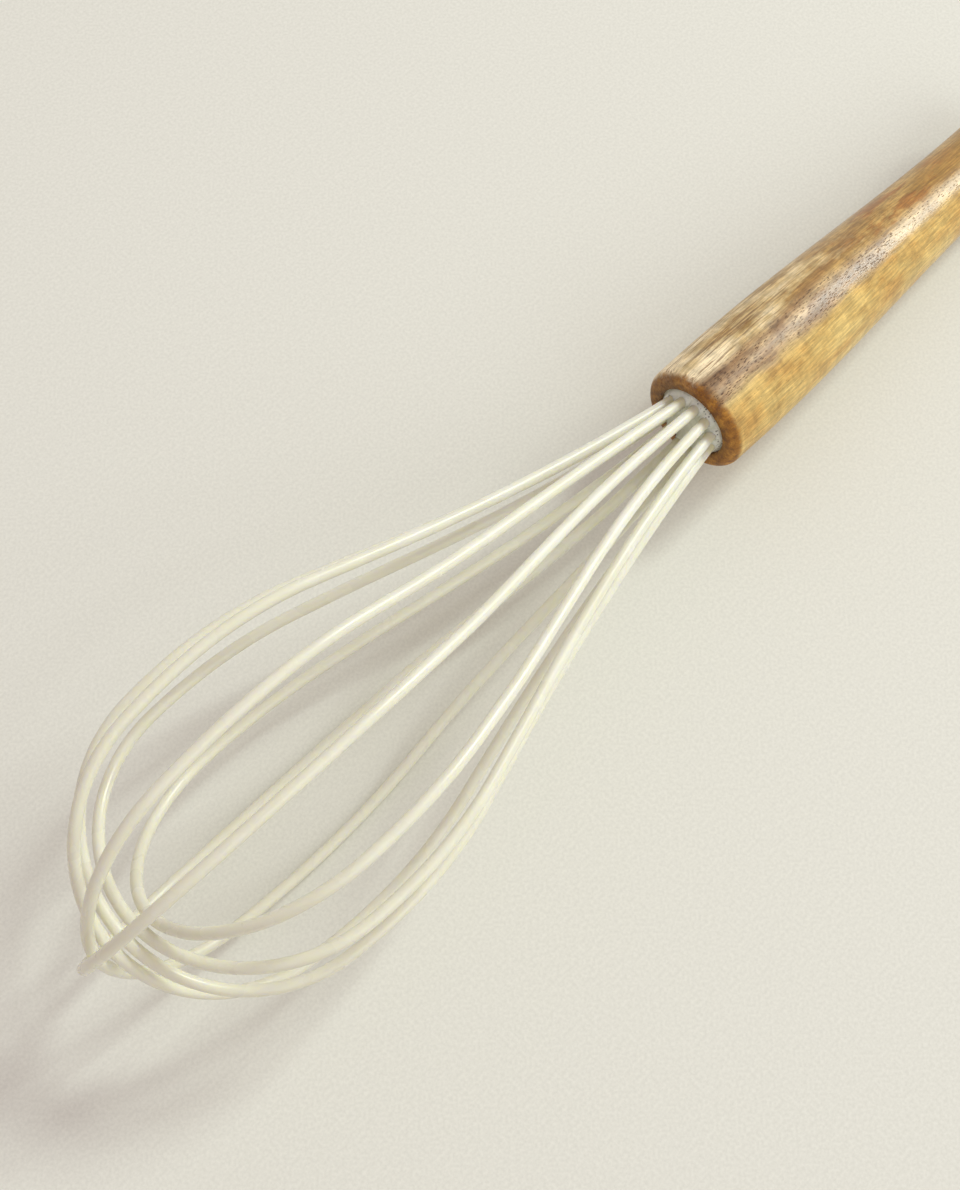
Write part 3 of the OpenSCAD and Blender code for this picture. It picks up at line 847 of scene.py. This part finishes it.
# %% A plain pale table
TABLE_HALF = 3.0
CLOTH = [(0.3, paint(219, 219, 209)), (0.7, paint(229, 229, 219))]
FAR = paint(229, 227, 215)
MOTTLE_PER_METRE = 1300.0
FADE_FROM, FADE_TO = 0.35, 0.85
table_shape = bmesh.new()
bmesh.ops.create_grid(table_shape, x_segments=1, y_segments=1, size=TABLE_HALF)
table_mesh = bpy.data.meshes.new("table")
table_shape.to_mesh(table_mesh)
table_shape.free()
table = bpy.data.objects.new("table", table_mesh)
bpy.context.scene.collection.objects.link(table)
print("the table is", 2 * TABLE_HALF, "m wide and fades from", FADE_FROM, "to", FADE_TO, "m")

# %% The table's cloth, which goes over into the backdrop's colour farther out
cloth, tree, shader, place = material_with("pale_table")
on_table = add(tree, "ShaderNodeTexCoord").outputs["Object"]
mottle = add(tree, "ShaderNodeTexNoise",
             {"Vector": on_table, "Scale": MOTTLE_PER_METRE, "Detail": 2.0}).outputs["Fac"]
tree.links.new(ramp(tree, mottle, CLOTH), shader.inputs["Base Color"])
set_all(shader, Roughness=0.85, Specular_IOR_Level=0.1)
away = add(tree, "ShaderNodeVectorMath", {0: on_table}, operation="LENGTH").outputs["Value"]
faded = spread(tree, away, FADE_FROM, FADE_TO)
glow = add(tree, "ShaderNodeEmission", {"Color": FAR}).outputs[0]
surface = add(tree, "ShaderNodeMixShader", {0: faded, 1: shader.outputs[0], 2: glow}).outputs[0]
tree.links.new(surface, tree.nodes["Material Output"].inputs["Surface"])
table_mesh.materials.append(cloth)


# %% Soft studio light
def softbox(name, azimuth, elevation, distance, size, power, colour):
    """A square lamp that looks at the middle of the whisk from a compass angle and a height angle."""
    around, up = math.radians(azimuth), math.radians(elevation)
    direction = Vector((math.cos(around) * math.cos(up), math.sin(around) * math.cos(up), math.sin(up)))
    light = bpy.data.lights.new(name, "AREA")
    light.size, light.energy, light.color = size, power, colour
    lamp = bpy.data.objects.new(name, light)
    lamp.location = direction * distance
    lamp.rotation_euler = (-direction).to_track_quat("-Z", "Y").to_euler()
    bpy.context.scene.collection.objects.link(lamp)
    print(name, "stands", distance, "m away and", elevation, "degrees up")


softbox("key", azimuth=176, elevation=47, distance=2.6, size=0.46, power=25.0, colour=(0.91, 1, 0.96))
softbox("window", azimuth=164, elevation=34, distance=2.6, size=0.50, power=14.0, colour=(0.92, 1, 0.95))
softbox("side_fill", azimuth=95, elevation=42, distance=1.7, size=1.00, power=5.2, colour=(0.93, 1, 0.96))

# %% Light from all round, with a pale backdrop past the table's edge
ROUND_COLOUR, ROUND_STRENGTH = (1, 0.87, 0.88, 1), 0.59
world = bpy.data.worlds.new("studio")
world.use_nodes = True
bpy.context.scene.world = world
tree = world.node_tree
all_round = tree.nodes["Background"]
all_round.inputs["Color"].default_value = ROUND_COLOUR
all_round.inputs["Strength"].default_value = ROUND_STRENGTH
backdrop = add(tree, "ShaderNodeBackground", {"Color": FAR, "Strength": 1.0})
ray = add(tree, "ShaderNodeLightPath").outputs
mirrored = sum_of(tree, "MAXIMUM", ray["Is Glossy Ray"], ray["Is Transmission Ray"])
seen_or_mirrored = sum_of(tree, "MAXIMUM", ray["Is Camera Ray"], mirrored)
either = add(tree, "ShaderNodeMixShader",
             {0: seen_or_mirrored, 1: all_round.outputs[0], 2: backdrop.outputs[0]})
tree.links.new(either.outputs[0], tree.nodes["World Output"].inputs["Surface"])
bpy.context.scene.view_settings.view_transform = "Standard"
print("light from all round has a strength of", ROUND_STRENGTH)

# %% The camera stands where the photographer stood, almost over the whisk
CAMERA_PLACE = (0.135775, 0.076469, 0.365240)
CAMERA_TURN = (19.82064, -1.35830, 134.83911)
camera_data = bpy.data.cameras.new("camera")
camera_data.sensor_width = 36
camera_data.lens = 48.0278
camera_data.clip_start = 0.01
camera = bpy.data.objects.new("camera", camera_data)
camera.location = CAMERA_PLACE
camera.rotation_euler = [math.radians(angle) for angle in CAMERA_TURN]
bpy.context.scene.collection.objects.link(camera)
bpy.context.scene.camera = camera
print("the camera is", round(Vector(CAMERA_PLACE).length, 3), "m from the middle of the whisk")
